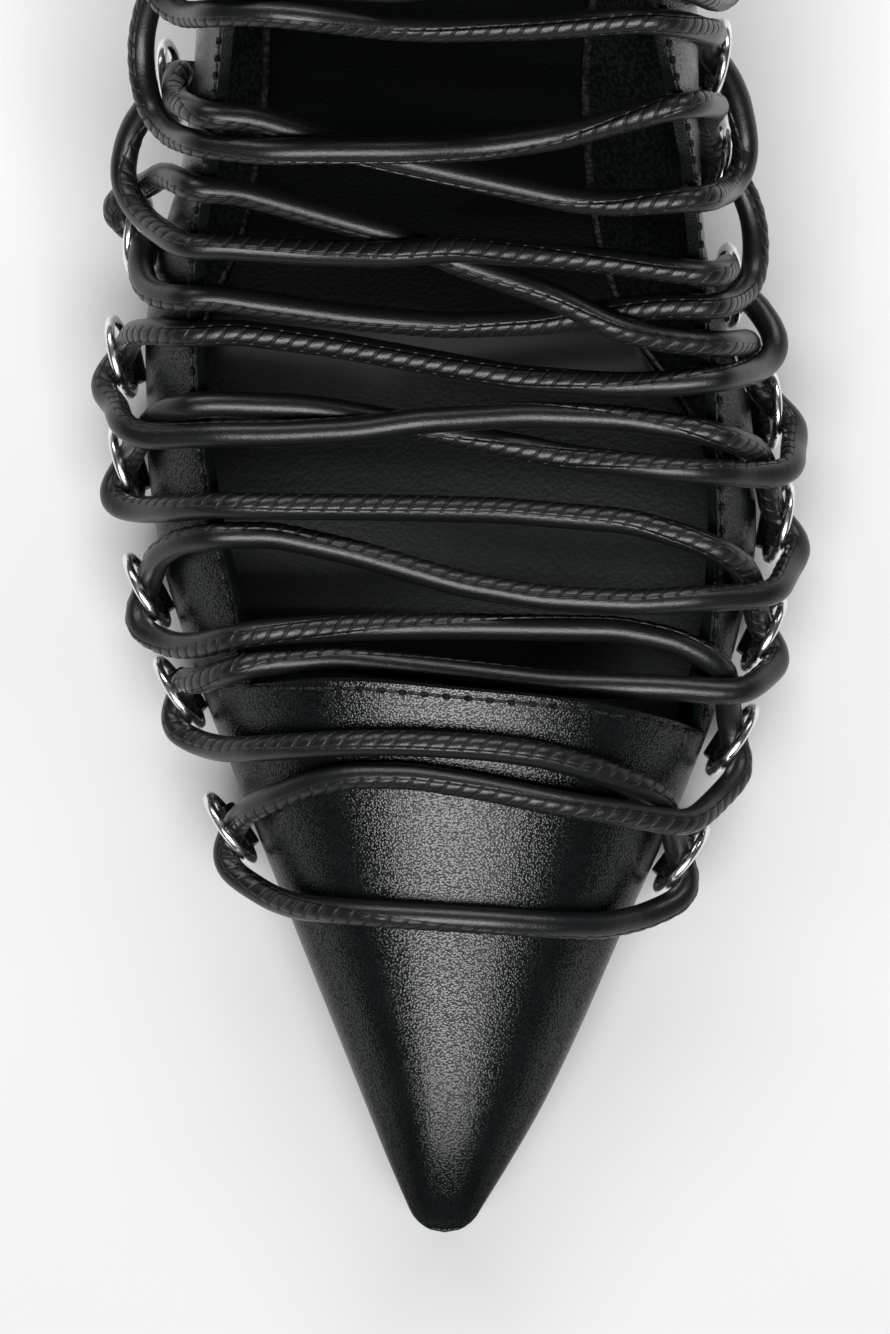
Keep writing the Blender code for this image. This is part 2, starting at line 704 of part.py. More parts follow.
def cord_height(across, station):
    """Height of the lace's middle over the vamp, the opening, the wall and outside the shoe."""
    side = MEDIAL if across > 0 else LATERAL
    clear = LACE_DIAMETER / 2 + LACE_GAP
    edge = edge_height(station)
    wide = half_width(side, station)
    outside = edge + RING_RAISE + LOOP_RISE
    if abs(across) >= wide:
        return outside
    if station < curve(THROAT, THROAT_COLUMNS, "station", across):
        return max(outside, vamp_height(across, station) + clear)
    reach = opening_reach(station)
    steep = steepness(station)
    tops = {k: edge + topline(SIDE_NAMES[k] + "_top", station) + clear * steep for k in SIDE_NAMES}
    if abs(across) > reach[side]:
        part = (abs(across) - reach[side]) / (wide - reach[side])
        return tops[side] + (edge + RING_RAISE + WALL_RISE - tops[side]) * part
    part = (across + reach[LATERAL]) / (reach[LATERAL] + reach[MEDIAL])
    return tops[LATERAL] + (tops[MEDIAL] - tops[LATERAL]) * part


def threading(side, number):
    """Points that lead the lace through a ring, from its outer face inwards and up."""
    middle, along, up, out = ring_place(side, number)
    heelward = along if along.y > 0 else -along
    return [
        middle + up * (THREAD_RISE - 0.6) + out * THREAD_OUT - heelward * 1.0,
        middle + up * THREAD_RISE,
        middle + up * (THREAD_RISE + 1.0) - out * THREAD_IN + heelward * 1.0,
    ]


def waypoints(rows):
    return [Vector((x, y, cord_height(x, y) + lift * steepness(y))) for x, y, lift in rows]


def strand(first_side, passes):
    """Waypoints of one strand, from the outer face of its first ring."""
    points = threading(first_side, 1)
    side = first_side
    for number, rows in enumerate(passes, start=2):
        side = -side
        points += waypoints(rows) + threading(side, number)
    return points


def lace_route():
    medial = strand(MEDIAL, MEDIAL_STRAND)
    return medial[::-1] + waypoints(BAR)[::-1] + strand(LATERAL, LATERAL_STRAND)


def through(points, step):
    """Evenly spaced points on a smooth curve through the waypoints."""
    dense = []
    padded = [points[0]] + points + [points[-1]]
    for a, b, c, d in zip(padded, padded[1:], padded[2:], padded[3:]):
        parts = max(int((c - b).length / step), 1)
        for k in range(parts):
            t = k / parts
            bend = (2 * a - 5 * b + 4 * c - d) * t * t + (3 * b - a - 3 * c + d) * t ** 3
            dense.append((2 * b + (c - a) * t + bend) / 2)
    dense.append(points[-1])
    return dense


def clear_of_itself(points, apart):
    """Points of passes that come too near each other, moved apart by half each."""
    spots = np.array(points)
    steps = np.linalg.norm(np.diff(spots, axis=0), axis=1)
    run = np.concatenate(([0.0], np.cumsum(steps)))
    between = spots[:, None] - spots[None]
    distance = np.linalg.norm(between, axis=2)
    near = (distance < apart) & (np.abs(run[:, None] - run[None]) > 3 * apart)
    for i, j in zip(*np.nonzero(near)):
        away = between[i, j] / max(distance[i, j], 0.01)
        spots[i] += away * (apart - distance[i, j]) / 4
        spots[j] -= away * (apart - distance[i, j]) / 4
    return [Vector(spot) for spot in spots]


def clear_of_ring(point, ring, apart):
    """The point, moved away from the middle of a ring's wire."""
    middle, along, up, out = ring
    arm = point - middle
    flat = arm - out * arm.dot(out)
    wire = middle + flat.normalized() * (RING_OUTSIDE - RING_WIRE) / 2
    away = point - wire
    if away.length >= apart:
        return point
    return wire + away.normalized() * apart


def clear_of_upper(point, surface, apart):
    if over_opening(point.x, point.y):
        point.z = max(point.z, cord_height(point.x, point.y))
        return point
    near, normal, _, distance = surface.find_nearest(point)
    away = point - near
    if away.dot(normal) < 0:
        return near + normal * apart
    if distance < apart:
        return near + away.normalized() * apart
    return point


def evenly_spaced(points, step):
    run = [0.0]
    for a, b in zip(points, points[1:]):
        run.append(run[-1] + (b - a).length)
    count = round(run[-1] / step)
    wanted = np.linspace(0.0, run[-1], count + 1)
    axes = [np.interp(wanted, run, [point[k] for point in points]) for k in range(3)]
    return [Vector(spot) for spot in zip(*axes)]


def settled(points):
    """The same points, eased and moved clear of the upper, the rings and the lace itself."""
    surface = BVHTree.FromPolygons(*outer_surface())
    rings = [ring_place(side, number) for side in SIDE_NAMES for number in range(1, len(RINGS) + 1)]
    wall_apart = LACE_DIAMETER / 2 + LACE_GAP
    ring_apart = (LACE_DIAMETER + RING_WIRE) / 2 + LACE_GAP
    for turn in range(SETTLE_ROUNDS):
        ease = 0.5 * (1 - turn / SETTLE_ROUNDS)
        points = evenly_spaced(points, LACE_STEP)
        eased = [b.lerp((a + c) / 2, ease) for a, b, c in zip(points, points[1:], points[2:])]
        points = clear_of_itself([points[0]] + eased + [points[-1]], LACE_DIAMETER + LACE_GAP)
        for i, point in enumerate(points):
            for ring in rings:
                if (point - ring[0]).length < RING_OUTSIDE:
                    point = clear_of_ring(point, ring, ring_apart)
            points[i] = clear_of_upper(point, surface, wall_apart)
    return points


def thinned(points, flatness):
    """Fewer points that stay within flatness of the full route."""
    kept = [0]
    start = 0
    while start < len(points) - 1:
        end = start + 1
        while end + 1 < len(points):
            chord = points[end + 1] - points[start]
            inner = points[start + 1:end + 1]
            apart = max((p - points[start]).cross(chord).length / chord.length for p in inner)
            if apart > flatness:
                break
            end += 1
        kept.append(end)
        start = end
    return [points[i] for i in kept]


def make_lace(finish):
    route = thinned(settled(through(lace_route(), LACE_STEP)), LACE_FLATNESS)
    data = bpy.data.curves.new("lace", "CURVE")
    data.dimensions = "3D"
    data.bevel_depth = LACE_DIAMETER / 2 * MM
    data.bevel_resolution = LACE_BEVEL_RESOLUTION
    data.use_fill_caps = True
    spline = data.splines.new("POLY")
    spline.points.add(len(route) - 1)
    for spot, point in zip(spline.points, route):
        spot.co = (*place(point), 1.0)
    data.materials.append(finish)
    lace = bpy.data.objects.new("lace", data)
    bpy.context.scene.collection.objects.link(lace)
    return lace


def main():
    clear_scene()
    leather = material("black_leather", (0.012, 0.013, 0.014), 0.42)
    lining = material("dark_lining", (0.02, 0.024, 0.024), 0.6)
    sole = material("black_sole", (0.01, 0.01, 0.011), 0.5)
    rubber = material("black_rubber", (0.02, 0.02, 0.02), 0.7)
    steel = material("polished_steel", (0.75, 0.75, 0.74), 0.12, 1.0)

    make_upper(leather)
    make_plate("insole", WALL + INSOLE_SIDE_GAP, 0.0, INSOLE_THICKNESS, lining)
    make_plate(
        "outsole", -SOLE_EDGE_OUTSET, -FIT_GAP - SOLE_THICKNESS, -FIT_GAP, sole, BREAST_STATION
    )
    make_heel(leather)
    make_top_piece(rubber)
    for side in (LATERAL, MEDIAL):
        for number in range(1, len(RINGS) + 1):
            make_ring(side, number, steel)
            make_tab(side, number, leather)
    make_lace(leather)


main()
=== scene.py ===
# %% [markdown]
# A laced pump, seen from almost straight above, on a pale floor. The solid parts of the
# model are loaded first and never moved. Each visible piece is then made finely around
# them: the cord, its rings, the leather upper with its stitches, the sole and the heel.

# %% Load the solid model
import math

import bmesh
import bpy
import numpy as np
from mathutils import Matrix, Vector
from mathutils.bvhtree import BVHTree
from mathutils.kdtree import KDTree


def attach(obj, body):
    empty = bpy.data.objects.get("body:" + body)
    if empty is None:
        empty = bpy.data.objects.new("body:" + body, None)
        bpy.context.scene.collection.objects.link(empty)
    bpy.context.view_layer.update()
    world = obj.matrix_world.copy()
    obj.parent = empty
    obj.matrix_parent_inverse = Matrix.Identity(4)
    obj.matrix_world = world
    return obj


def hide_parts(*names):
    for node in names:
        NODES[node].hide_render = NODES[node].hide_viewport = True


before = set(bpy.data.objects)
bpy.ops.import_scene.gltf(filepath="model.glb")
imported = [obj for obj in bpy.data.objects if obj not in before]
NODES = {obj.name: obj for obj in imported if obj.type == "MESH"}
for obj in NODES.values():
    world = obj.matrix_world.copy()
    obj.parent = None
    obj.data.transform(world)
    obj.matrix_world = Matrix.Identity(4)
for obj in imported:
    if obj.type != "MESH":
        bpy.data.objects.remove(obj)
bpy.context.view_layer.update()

MM = 0.001

# %% [markdown]
# The camera looks down from the toe's side, only seven degrees off straight down. A long
# lens from 1.4 m keeps the shoe almost free of perspective, as in the photograph.

# %% Camera
CAMERA_ELEVATION = 83.0
CAMERA_DISTANCE = 1.4
CAMERA_TARGET = Vector((0.0, -0.0046, 0.020))
SENSOR_WIDTH = 36.0
PHOTO_WIDTH = 890
PIXEL_WIDTH = 0.134
VIEW_WIDTH = PIXEL_WIDTH * PHOTO_WIDTH * MM


def add_camera():
    data = bpy.data.cameras.new("photo_camera")
    data.sensor_fit = "HORIZONTAL"
    data.sensor_width = SENSOR_WIDTH
    data.lens = SENSOR_WIDTH * CAMERA_DISTANCE / VIEW_WIDTH
    camera = bpy.data.objects.new("photo_camera", data)
    bpy.context.scene.collection.objects.link(camera)
    tilt = math.radians(90 - CAMERA_ELEVATION)
    back = Vector((0.0, -math.sin(tilt), math.cos(tilt)))
    camera.location = CAMERA_TARGET + back * CAMERA_DISTANCE
    camera.rotation_euler = (tilt, 0.0, 0.0)
    bpy.context.scene.camera = camera
    print("lens", round(data.lens, 1), "mm")


add_camera()

# %% [markdown]
# Every finish is built from the same few nodes: a Principled shader, one or two procedural
# textures on Object coordinates, and a Bump. The helpers below keep each recipe short.

# %% Helpers for finishes


def new_finish(name, colour, roughness, metallic=0.0, coat=0.0, coat_roughness=0.1):
    made = bpy.data.materials.new(name)
    made.use_nodes = True
    shader = made.node_tree.nodes["Principled BSDF"]
    shader.inputs["Base Color"].default_value = (*colour, 1.0)
    shader.inputs["Roughness"].default_value = roughness
    shader.inputs["Metallic"].default_value = metallic
    shader.inputs["Coat Weight"].default_value = coat
    shader.inputs["Coat Roughness"].default_value = coat_roughness
    return made


def add_node(finish, kind, **settings):
    node = finish.node_tree.nodes.new(kind)
    for name, value in settings.items():
        if hasattr(node, name):
            setattr(node, name, value)
        else:
            node.inputs[name.replace("_", " ")].default_value = value
    return node


def join(finish, *ends):
    """Links pairs of (node, output) and (node, input)."""
    for (source, output), (target, entry) in zip(ends[::2], ends[1::2]):
        finish.node_tree.links.new(source.outputs[output], target.inputs[entry])


def shader_of(finish):
    return finish.node_tree.nodes["Principled BSDF"]


def textured(finish, kind, scale, out, **settings):
    """A texture on Object coordinates, ready to be linked."""
    place = add_node(finish, "ShaderNodeTexCoord")
    texture = add_node(finish, kind, Scale=scale, **settings)
    join(finish, (place, "Object"), (texture, "Vector"))
    return texture, out


def spread(finish, source, low, high, start=0.0, end=1.0, soft=False):
    """A value that runs from low to high as its source runs from start to end."""
    blend = "SMOOTHSTEP" if soft else "LINEAR"
    node = add_node(finish, "ShaderNodeMapRange", interpolation_type=blend)
    for name, value in (("From Min", start), ("From Max", end), ("To Min", low), ("To Max", high)):
        node.inputs[name].default_value = value
    join(finish, source, (node, "Value"))
    return node, "Result"


def vary(finish, source, low, high, entry, start=0.0, end=1.0):
    """Lets a texture move one value of the shader between low and high."""
    join(finish, spread(finish, source, low, high, start, end), (shader_of(finish), entry))


def product(finish, first, second):
    node = add_node(finish, "ShaderNodeMath", operation="MULTIPLY")
    for k, source in enumerate((first, second)):
        finish.node_tree.links.new(source[0].outputs[source[1]], node.inputs[k])
    return node, "Value"


def along_shoe(finish, start, end):
    """0 up to one distance behind the origin, in metres, and 1 beyond another."""
    place = add_node(finish, "ShaderNodeTexCoord")
    split = add_node(finish, "ShaderNodeSeparateXYZ")
    join(finish, (place, "Object"), (split, "Vector"))
    return spread(finish, (split, "Y"), 0.0, 1.0, start, end, soft=True)


def vary_colour(finish, source, dark, light, start=0.3, end=0.7):
    ramp = add_node(finish, "ShaderNodeValToRGB")
    ramp.color_ramp.elements[0].position = start
    ramp.color_ramp.elements[1].position = end
    ramp.color_ramp.elements[0].color = (*dark, 1.0)
    ramp.color_ramp.elements[1].color = (*light, 1.0)
    join(finish, source, (ramp, "Fac"), (ramp, "Color"), (shader_of(finish), "Base Color"))


def bump(finish, source, depth, strength=1.0, under=None):
    """Relief of a depth in metres, inside out below 0, over another Bump if one is given."""
    settings = {"Distance": abs(depth), "Strength": strength, "invert": depth < 0}
    relief = add_node(finish, "ShaderNodeBump", **settings)
    join(finish, source, (relief, "Height"), (relief, "Normal"), (shader_of(finish), "Normal"))
    if under is not None:
        join(finish, (under, "Normal"), (relief, "Normal"))
    return relief


# %% [markdown]
# The upper's leather is smooth and semi-gloss, with a very fine pebble grain that breaks up
# the bright reflection on the vamp's ridge. A Voronoi texture gives the pebbles, and a slow
# noise keeps the gloss from being the same everywhere. On the toe's tip and the steep walls
# beside the foot's front the gloss is turned down: painted shade, for the darker reflections there.

# %% Leather finishes


def shaded_front_walls(finish):
    """Painted shade on the gloss: 1 over most of the shoe, less on the toe's tip and on the steep walls
    behind it.
    """
    facing = add_node(finish, "ShaderNodeLayerWeight", Blend=0.5)
    steep = spread(finish, (facing, "Facing"), 0.0, 1.0, 0.22, 0.62, soft=True)
    front = spread(finish, along_shoe(finish, 0.040, 0.062), 1.0, 0.0)
    walls = spread(finish, product(finish, steep, front), 1.0, 0.2)
    tip = spread(finish, along_shoe(finish, -0.076, -0.050), 0.2, 1.0)
    return product(finish, walls, tip)


def paint_back_shade(finish, dark, light, start, end):
    """Painted shade: the colour and gloss fall off between two distances behind the origin."""
    vary_colour(finish, along_shoe(finish, start, end), light, dark, 0.0, 1.0)
    vary(finish, along_shoe(finish, start, end), 0.5, 0.05, "Specular IOR Level")


def make_leather(name, colour, roughness, grain_scale, grain_depth, coat, gloss_shade=None):
    finish = new_finish(name, colour, roughness, coat=coat, coat_roughness=0.14)
    cloud = textured(finish, "ShaderNodeTexNoise", 60.0, "Fac", Detail=3.0)
    vary(finish, cloud, roughness - 0.03, roughness + 0.05, "Roughness", 0.3, 0.7)
    fine = textured(finish, "ShaderNodeTexNoise", 8000.0, "Fac", Detail=1.0)
    first = bump(finish, fine, 0.00002, 0.5)
    pebbles = textured(finish, "ShaderNodeTexVoronoi", grain_scale, "Distance")
    bump(finish, pebbles, -grain_depth, 1.0, under=first)
    pebble_gloss = spread(finish, pebbles, 1.0, 0.2, 0.38, 0.62)
    # An optional mask multiplies in painted shade here: less reflection on the toe's tip and on the
    # steep walls at the front.
    if gloss_shade is not None:
        pebble_gloss = product(finish, pebble_gloss, gloss_shade(finish))
    vary(finish, pebble_gloss, 0.0, 0.5, "Specular IOR Level")
    tone = textured(finish, "ShaderNodeTexNoise", 140.0, "Fac", Detail=4.0)
    vary_colour(finish, tone, tuple(c * 0.8 for c in colour), tuple(c * 1.25 for c in colour))
    return finish


UPPER_BLACK = (0.0030, 0.0040, 0.0040)
upper_leather = make_leather(
    "upper_leather", UPPER_BLACK, 0.2, 3300.0, 0.00005, 0.05, gloss_shade=shaded_front_walls
)
heel_leather = make_leather("heel_leather", UPPER_BLACK, 0.24, 3300.0, 0.00005, 0.05)
tab_leather = make_leather("tab_leather", (0.0030, 0.0036, 0.0036), 0.42, 2600.0, 0.00005, 0.1)
lining_leather = make_leather("lining_leather", (0.0020, 0.0030, 0.0028), 0.5, 1500.0, 0.00004, 0.0)
insole_leather = make_leather("insole_leather", (0.0040, 0.0062, 0.0056), 0.48, 1700.0, 0.00004, 0.05)
sole_leather = make_leather("sole_leather", (0.0050, 0.0055, 0.0055), 0.45, 1200.0, 0.00006, 0.0)
heel_rubber = make_leather("heel_rubber", (0.010, 0.010, 0.010), 0.7, 900.0, 0.0001, 0.0)
stitch_thread = make_leather("stitch_thread", (0.0045, 0.0050, 0.0050), 0.5, 3000.0, 0.00008, 0.0)
# The insole's heel end is painted near black and dull: painted shade, where the walls and the laces
# shade it.
paint_back_shade(insole_leather, (0.0004, 0.0008, 0.0007), (0.0040, 0.0064, 0.0058), 0.010, 0.036)


def make_steel():
    finish = new_finish("polished_steel", (0.86, 0.86, 0.85), 0.2, metallic=1.0)
    cloud = textured(finish, "ShaderNodeTexNoise", 700.0, "Fac", Detail=4.0)
    vary(finish, cloud, 0.14, 0.3, "Roughness", 0.35, 0.65)
    scratches = textured(finish, "ShaderNodeTexNoise", 1500.0, "Fac", Detail=2.0)
    bump(finish, scratches, 0.00001, 0.4)
    return finish


ring_steel = make_steel()

# %% [markdown]
# The solid lace is a six-sided tube, so each ring of six points round it has edges exactly
# as long as the tube's radius. Those rings give back the line down the cord's middle. That
# line is then smoothed and followed by a much finer tube, closed round its stitched seam.

# %% The cord's middle line
CORD_RADIUS = 1.8 * MM
RING_EDGE_SLACK = 0.003 * MM
MERGE_DISTANCE = 1e-6


def merged_copy(node):
    """The points and edges of a solid's mesh with its doubled points merged."""
    tidy = bmesh.new()
    tidy.from_mesh(NODES[node].data)
    bmesh.ops.remove_doubles(tidy, verts=tidy.verts, dist=MERGE_DISTANCE)
    tidy.verts.index_update()
    points = np.array([vert.co for vert in tidy.verts])
    edges = [tuple(vert.index for vert in edge.verts) for edge in tidy.edges]
    tidy.free()
    return points, edges


def grouped(count, pairs):
    """Which group each point is in, where pairs of points are in the same group."""
    group = list(range(count))

    def head(i):
        while group[i] != i:
            group[i] = group[group[i]]
            i = group[i]
        return i

    for a, b in pairs:
        group[head(a)] = head(b)
    return [head(i) for i in range(count)]


def cord_middle():
    points, edges = merged_copy("lace")
    length = {edge: np.linalg.norm(points[edge[0]] - points[edge[1]]) for edge in edges}
    round_edges = [e for e in edges if abs(length[e] - CORD_RADIUS) < RING_EDGE_SLACK]
    group = grouped(len(points), round_edges)
    beside = {}
    for a, b in edges:
        if group[a] != group[b]:
            beside.setdefault(group[a], set()).add(group[b])
            beside.setdefault(group[b], set()).add(group[a])
    ends = [name for name, others in beside.items() if len(others) == 1]
    print("cord: sections", len(beside), "ends", len(ends))
    order = [min(ends)]
    while len(order) < len(beside):
        order.append(next(iter(beside[order[-1]] - set(order[-2:]))))
    members = {name: [] for name in order}
    for i, name in enumerate(group):
        members[name].append(points[i])
    return np.array([np.mean(members[name], axis=0) for name in order])


def smooth_line(points, step, spread):
    """The line through the points at an even step, eased over a short spread."""
    run = np.concatenate(([0.0], np.cumsum(np.linalg.norm(np.diff(points, axis=0), axis=1))))
    even = np.linspace(0.0, run[-1], round(run[-1] / step) + 1)
    line = np.stack([np.interp(even, run, points[:, k]) for k in range(3)], axis=1)
    reach = int(3 * spread / step)
    weights = np.exp(-0.5 * (np.arange(-reach, reach + 1) * step / spread) ** 2)
    before = 2 * line[0] - line[reach:0:-1]
    after = 2 * line[-1] - line[-2:-reach - 2:-1]
    padded = np.concatenate((before, line, after))
    eased = [np.convolve(padded[:, k], weights / weights.sum(), "valid") for k in range(3)]
    return np.stack(eased, axis=1)


CORD_STEP = 0.48 * MM
CORD_EASE = 1.7 * MM
cord_line = smooth_line(cord_middle(), CORD_STEP, CORD_EASE)
print("cord length", round(len(cord_line) * CORD_STEP, 3), "m, points", len(cord_line))

# %% [markdown]
# A rolled leather cord is a strip folded round a core and sewn edge to edge. Its seam shows
# as two rows of needle holes with raised beads between them. The tube's points crowd near
# the seam, so real relief can follow it, and the seam wanders slowly round the cord.

# %% The cord's surface
SEAM_ANGLES = (0, 10, 20, 28, 36, 44, 60, 84, 110, 135, 158)
SEAM_PITCH = 2.25 * MM
SEAM_HALF = 34.0
SEAM_SLANT = 3.0
SEAM_SWELL = 0.09 * MM
SEAM_EDGE_DEPTH = 0.07 * MM
SEAM_WANDER = 115.0
SEAM_WANDER_LENGTH = 0.33
SEAM_SECOND_LENGTH = 0.127
SEAM_CALM_REACH = 25 * MM
CORD_BODY = 0.985


def carried_frames(line):
    """Two directions across the cord at each point, carried along without twisting."""
    along = np.gradient(line, axis=0)
    along /= np.linalg.norm(along, axis=1)[:, None]
    side = np.cross(along[0], (0.0, 0.0, 1.0))
    sides = []
    for direction in along:
        side = side - direction * side.dot(direction)
        side = side / np.linalg.norm(side)
        sides.append(side)
    sides = np.array(sides)
    return sides, np.cross(along, sides)


def seam_turn(sides, ups, count):
    """The seam's angle: near the cord's upper face, wandering slowly to both sides."""
    facing = np.unwrap(np.arctan2(ups[:, 2], sides[:, 2]))
    reach = int(SEAM_CALM_REACH / CORD_STEP)
    box = np.ones(2 * reach + 1) / (2 * reach + 1)
    padded = np.pad(facing, reach, mode="edge")
    calm = np.convolve(padded, box, "valid")
    run = np.arange(count) * CORD_STEP
    wander = np.sin(run * 2 * math.pi / SEAM_WANDER_LENGTH)
    wander = wander + 0.5 * np.sin(run * 2 * math.pi / SEAM_SECOND_LENGTH)
    return calm + math.radians(SEAM_WANDER) * wander / 1.5


def seam_relief(angle, run):
    """How far the surface stands out or in near the seam, angle in degrees from it."""
    beat = np.cos(2 * math.pi * (run / SEAM_PITCH + SEAM_SLANT * angle / 360))
    strip = min(max((SEAM_HALF + 8 - abs(angle)) / 12, 0.0), 1.0)
    edge = math.exp(-((abs(angle) - SEAM_HALF - 6) / 6.0) ** 2)
    return SEAM_SWELL * strip * (0.4 + 0.6 * beat) - SEAM_EDGE_DEPTH * edge


def make_cord(line):
    sides, ups = carried_frames(line)
    count = len(line)
    turn = seam_turn(sides, ups, count)
    angles = sorted({*SEAM_ANGLES, *(-a for a in SEAM_ANGLES), 180})
    run = np.arange(count) * CORD_STEP
    points = []
    for angle in angles:
        radius = CORD_RADIUS * CORD_BODY + seam_relief(angle, run)
        spin = turn + math.radians(angle)
        outward = sides * np.cos(spin)[:, None] + ups * np.sin(spin)[:, None]
        points.append(line + outward * radius[:, None])
    points = np.stack(points, axis=1)
    return points, angles


def tube_faces(count, around):
    faces = []
    for i in range(count - 1):
        for k in range(around):
            after = (k + 1) % around
            a, b = i * around + k, i * around + after
            faces.append((a, b, b + around, a + around))
    faces.append(tuple(reversed(range(around))))
    faces.append(tuple(range((count - 1) * around, count * around)))
    return faces


def new_piece(name, points, faces, *finishes):
    mesh = bpy.data.meshes.new(name)
    mesh.from_pydata([tuple(p) for p in points], [], faces)
    mesh.update()
    piece = bpy.data.objects.new(name, mesh)
    bpy.context.scene.collection.objects.link(piece)
    for finish in finishes:
        mesh.materials.append(finish)
    mesh.shade_smooth()
    return piece


def cord_uv(piece, angles, count):
    """U runs round the cord from its seam, and V along it in hundredths of a metre."""
    around = len(angles)
    layer = piece.data.uv_layers.new(name="cord")
    for polygon in piece.data.polygons:
        for loop in polygon.loop_indices:
            vertex = piece.data.loops[loop].vertex_index
            i, k = divmod(vertex, around)
            u = angles[k] / 360.0
            closing = polygon.index % around == around - 1 and k == 0
            if closing and polygon.index < (count - 1) * around:
                u = 0.5 + (angles[0] + 180) / 360.0
            layer.data[loop].uv = (u + 0.5, i * CORD_STEP / 0.01)


def make_cord_leather():
    """Smooth black leather with glossy beads beside the seam; its needle holes and grooves are painted
    darker, as painted shade.
    """
    finish = new_finish("cord_leather", (0.004, 0.0045, 0.005), 0.34, coat=0.06, coat_roughness=0.2)
    shader_of(finish).inputs["Specular IOR Level"].default_value = 0.36
    place = add_node(finish, "ShaderNodeUVMap", uv_map="cord")
    split = add_node(finish, "ShaderNodeSeparateXYZ")
    join(finish, (place, "UV"), (split, "Vector"))

    def math_node(kind, first, second=None, third=None):
        node = add_node(finish, "ShaderNodeMath", operation=kind)
        for k, value in enumerate((first, second, third)):
            if isinstance(value, tuple):
                finish.node_tree.links.new(value[0].outputs[value[1]], node.inputs[k])
            elif value is not None:
                node.inputs[k].default_value = value
        return (node, "Value")

    off_seam = math_node("SUBTRACT", (split, "X"), 0.5)
    off = math_node("ABSOLUTE", off_seam)
    phase = math_node("MULTIPLY", (split, "Y"), 0.01 / SEAM_PITCH)
    phase = math_node("ADD", phase, math_node("MULTIPLY", off_seam, SEAM_SLANT))
    beat = math_node("PINGPONG", phase, 0.5)
    groove = spread(finish, beat, 0.0, 1.0, 0.33, 0.47, soft=True)
    half = SEAM_HALF / 360
    strip = spread(finish, off, 1.0, 0.0, half - 0.012, half + 0.012, soft=True)
    edge = math_node("ABSOLUTE", math_node("SUBTRACT", off, (SEAM_HALF + 4) / 360))
    edge = spread(finish, edge, 1.0, 0.0, 0.0, 0.022, soft=True)
    cut = math_node("MULTIPLY", groove, strip)
    hole = math_node("MULTIPLY", groove, edge)
    dark = math_node("MAXIMUM", cut, hole)
    vary(finish, dark, 0.34, 0.8, "Roughness")
    height = math_node("SUBTRACT", strip, cut)
    height = math_node("SUBTRACT", height, math_node("MULTIPLY", edge, 0.35))
    height = math_node("SUBTRACT", height, math_node("MULTIPLY", hole, 1.2))
    ribs = add_node(finish, "ShaderNodeTexNoise", Scale=9.0, Detail=3.0)
    stretch = add_node(finish, "ShaderNodeMapping")
    stretch.inputs["Scale"].default_value = (0.6, 1.0, 1.0)
    join(finish, (place, "UV"), (stretch, "Vector"), (stretch, "Vector"), (ribs, "Vector"))
    grain = textured(finish, "ShaderNodeTexNoise", 4500.0, "Fac", Detail=2.0)
    grained = bump(finish, grain, 0.00006, 0.7)
    first = bump(finish, (ribs, "Fac"), 0.0001, 0.5, under=grained)
    bump(finish, height, 0.00013, 1.0, under=first)
    # Painted shade: the base colour goes near black in the grooves between the beads and in the needle
    # holes.
    ramp = add_node(finish, "ShaderNodeValToRGB")
    ramp.color_ramp.elements[0].color = (0.0040, 0.0045, 0.0050, 1.0)
    ramp.color_ramp.elements[1].color = (0.0008, 0.0008, 0.0008, 1.0)
    join(finish, dark, (ramp, "Fac"), (ramp, "Color"), (shader_of(finish), "Base Color"))
    return finish


cord_points, cord_angles = make_cord(cord_line)
cord_leather = make_cord_leather()
cord_faces = tube_faces(len(cord_line), len(cord_angles))
laced_cord = new_piece("laced_cord", cord_points.reshape(-1, 3), cord_faces, cord_leather)
cord_uv(laced_cord, cord_angles, len(cord_line))
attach(laced_cord, "root")
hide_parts("lace")
print("cord faces", len(cord_faces))

# %% [markdown]
# Each metal ring is plain round wire bent to a circle and welded. A torus is exactly that.
# Its place and tilt are read from the solid ring: the average of its points is its middle,
# and the direction in which they spread least is the one straight through it.

# %% Rings
RING_OUTSIDE = 11.7 * MM
RING_WIRE = 1.35 * MM
RING_SEGMENTS = 56
WIRE_SEGMENTS = 14
SIDES = ("lateral", "medial")
RING_COUNT = 9


def ring_frame(node):
    points = np.array([vert.co for vert in NODES[node].data.vertices])
    middle = (points.max(axis=0) + points.min(axis=0)) / 2
    points = points - points.mean(axis=0)
    _, _, axes = np.linalg.svd(points, full_matrices=False)
    return Vector(middle), Vector(axes[2])


def deselect_all():
    if bpy.context.object and bpy.context.object.mode != "OBJECT":
        bpy.ops.object.mode_set(mode="OBJECT")
    bpy.ops.object.select_all(action="DESELECT")


def settle(piece, name, finish, node):
    """Puts a finished piece's place into its mesh, and says what it stands for."""
    deselect_all()
    piece.select_set(True)
    bpy.context.view_layer.objects.active = piece
    bpy.ops.object.transform_apply(location=True, rotation=True, scale=True)
    piece.name = name
    piece.data.name = name
    piece.data.materials.clear()
    piece.data.materials.append(finish)
    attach(piece, "root")
    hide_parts(node)


def make_ring(side, number):
    node = f"ring_{side}_{number}"
    middle, through = ring_frame(node)
    deselect_all()
    bpy.ops.mesh.primitive_torus_add(
        major_segments=RING_SEGMENTS,
        minor_segments=WIRE_SEGMENTS,
        major_radius=(RING_OUTSIDE - RING_WIRE) / 2,
        minor_radius=RING_WIRE / 2,
        location=middle,
        rotation=through.to_track_quat("Z", "Y").to_euler(),
    )
    ring = bpy.context.object
    bpy.ops.object.shade_smooth()
    settle(ring, f"steel_{node}", ring_steel, node)


for side in SIDES:
    for number in range(1, RING_COUNT + 1):
        make_ring(side, number)
print("rings", 2 * RING_COUNT)

# %% [markdown]
# Tabs, insole, sole and heel keep the solids' shapes, but with soft edges. A copy of each
# solid is merged, its triangles are joined to quads, its sharp edges get a round Bevel, and
# a Subdivision Surface smooths what lies between them.

# %% Softened copies of the solids
EDGE_SEGMENTS = 2


